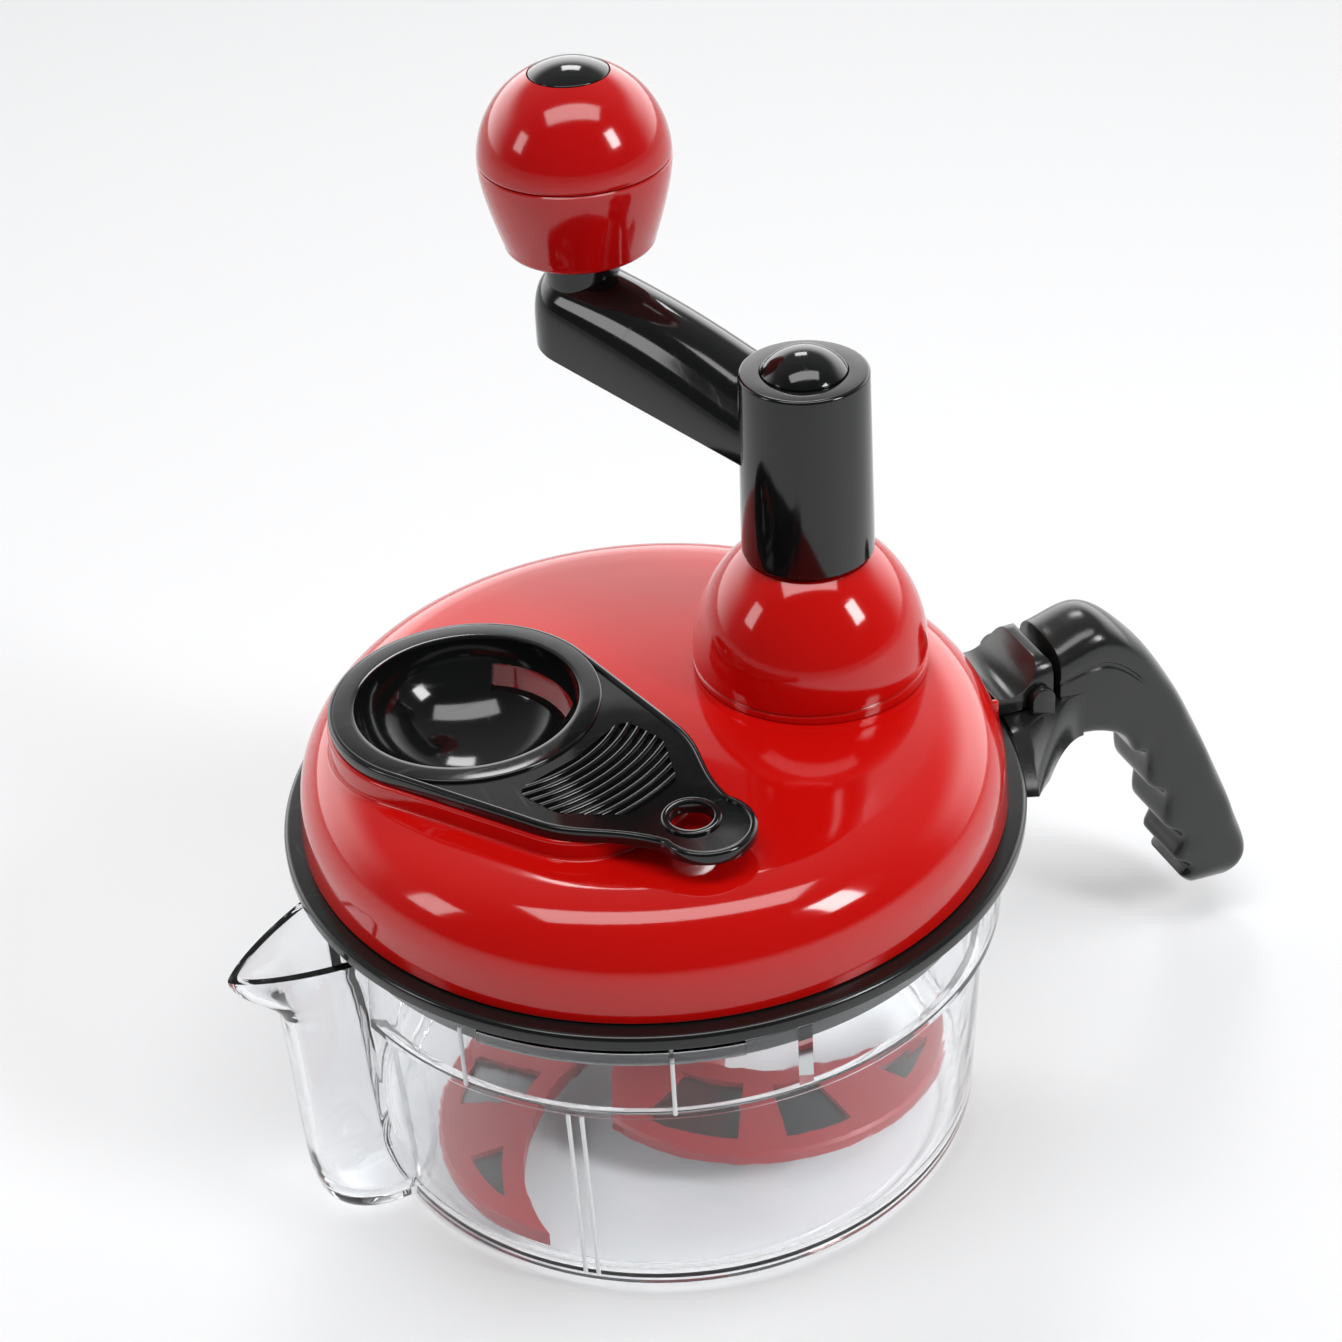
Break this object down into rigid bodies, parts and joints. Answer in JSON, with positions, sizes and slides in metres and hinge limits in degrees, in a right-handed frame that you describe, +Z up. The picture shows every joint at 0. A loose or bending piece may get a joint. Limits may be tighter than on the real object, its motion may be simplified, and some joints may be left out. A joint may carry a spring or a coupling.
{
  "type": "crank food chopper",
  "caption": "Hand-cranked food chopper: clear spouted bowl with a side handle, geared lid with a crank and knob, guarded crescent blades, and a lift-off egg separator.",
  "frame": {"origin": "on the surface the bowl stands on, under the bowl's axis", "axes": "+Z up along the bowl's axis, +X towards the side handle, +Y completes a right-handed frame"},
  "size_m": [0.2801, 0.18, 0.2554],
  "materials": {
    "clear_plastic": "clear polished plastic",
    "red_gloss": "high gloss",
    "black_gloss": "high gloss",
    "black_handle": "satin gloss",
    "smoke_plastic": "moulded, semi-matte",
    "guard_red": "moulded, semi-gloss",
    "gear_nylon": "moulded nylon",
    "bush_nylon": "turned nylon",
    "seal_rubber": "soft silicone",
    "blade_steel": "ground and polished",
    "spindle_steel": "turned",
    "screw_steel": "plated"
  },
  "bodies": {
    "base": {"bowl": "clear_plastic", "blade_spindle": "spindle_steel", "rim_collar": "black_gloss", "side_handle": "black_handle", "handle_screw_1": "screw_steel", "handle_screw_2": "screw_steel", "latch_pin": "screw_steel"},
    "latch": {"thumb_latch": "black_handle"},
    "lid": {"lid_cover": "red_gloss", "gear_plate": "smoke_plastic", "plug_ring": "smoke_plastic", "lid_seal": "seal_rubber", "plate_screw_1": "screw_steel", "plate_screw_2": "screw_steel", "plate_screw_3": "screw_steel", "plate_screw_4": "screw_steel", "gear_dome": "red_gloss", "dome_screw_1": "screw_steel", "dome_screw_2": "screw_steel", "dome_screw_3": "screw_steel", "shaft_bush": "bush_nylon", "pinion_bush": "bush_nylon"},
    "crank": {"crank_shaft": "spindle_steel", "drive_gear": "gear_nylon", "gear_washer": "screw_steel", "crank_arm": "black_gloss", "crank_screw": "screw_steel", "hub_cap": "black_gloss", "knob_pin": "spindle_steel"},
    "knob": {"knob_lower": "red_gloss", "knob_upper": "red_gloss", "knob_cap": "black_gloss"},
    "pinion": {"drive_pinion": "gear_nylon"},
    "blades": {"blade_hub": "guard_red", "blade_1": "blade_steel", "blade_2": "blade_steel", "blade_3": "blade_steel", "blade_guard_1": "guard_red", "blade_guard_2": "guard_red", "blade_guard_3": "guard_red"},
    "separator": {"egg_separator": "black_gloss"}
  },
  "joints": [
    {"name": "lid_lift", "type": "slide", "parent": "base", "child": "lid", "axis": [0, 0, 1], "range_m": [0, 0.09]},
    {"name": "crank_turn", "type": "hinge", "parent": "lid", "child": "crank", "pos_m": [0.0425, 0, 0.15], "axis": [0, 0, 1], "continuous": true},
    {"name": "knob_spin", "type": "hinge", "parent": "crank", "child": "knob", "pos_m": [0.01243, 0.06032, 0.2319], "axis": [0, 0, 1], "continuous": true},
    {"name": "pinion_turn", "type": "hinge", "parent": "lid", "child": "pinion", "pos_m": [0, 0, 0.102], "axis": [0, 0, 1], "continuous": true},
    {"name": "blade_turn", "type": "hinge", "parent": "base", "child": "blades", "pos_m": [0, 0, 0.02], "axis": [0, 0, 1], "continuous": true},
    {"name": "separator_lift", "type": "slide", "parent": "lid", "child": "separator", "axis": [0, 0, 1], "range_m": [0, 0.04]},
    {"name": "latch_tilt", "type": "hinge", "parent": "base", "child": "latch", "pos_m": [0.09938, 0, 0.0962], "axis": [0, 1, 0], "range_deg": [0, 10], "stiffness_Nm_per_rad": 0.2, "springref_deg": -5.73}
  ],
  "couplings": [
    {"joint": "pinion_turn", "follows": "crank_turn", "ratio": -3.25},
    {"joint": "blade_turn", "follows": "crank_turn", "ratio": -3.25}
  ]
}
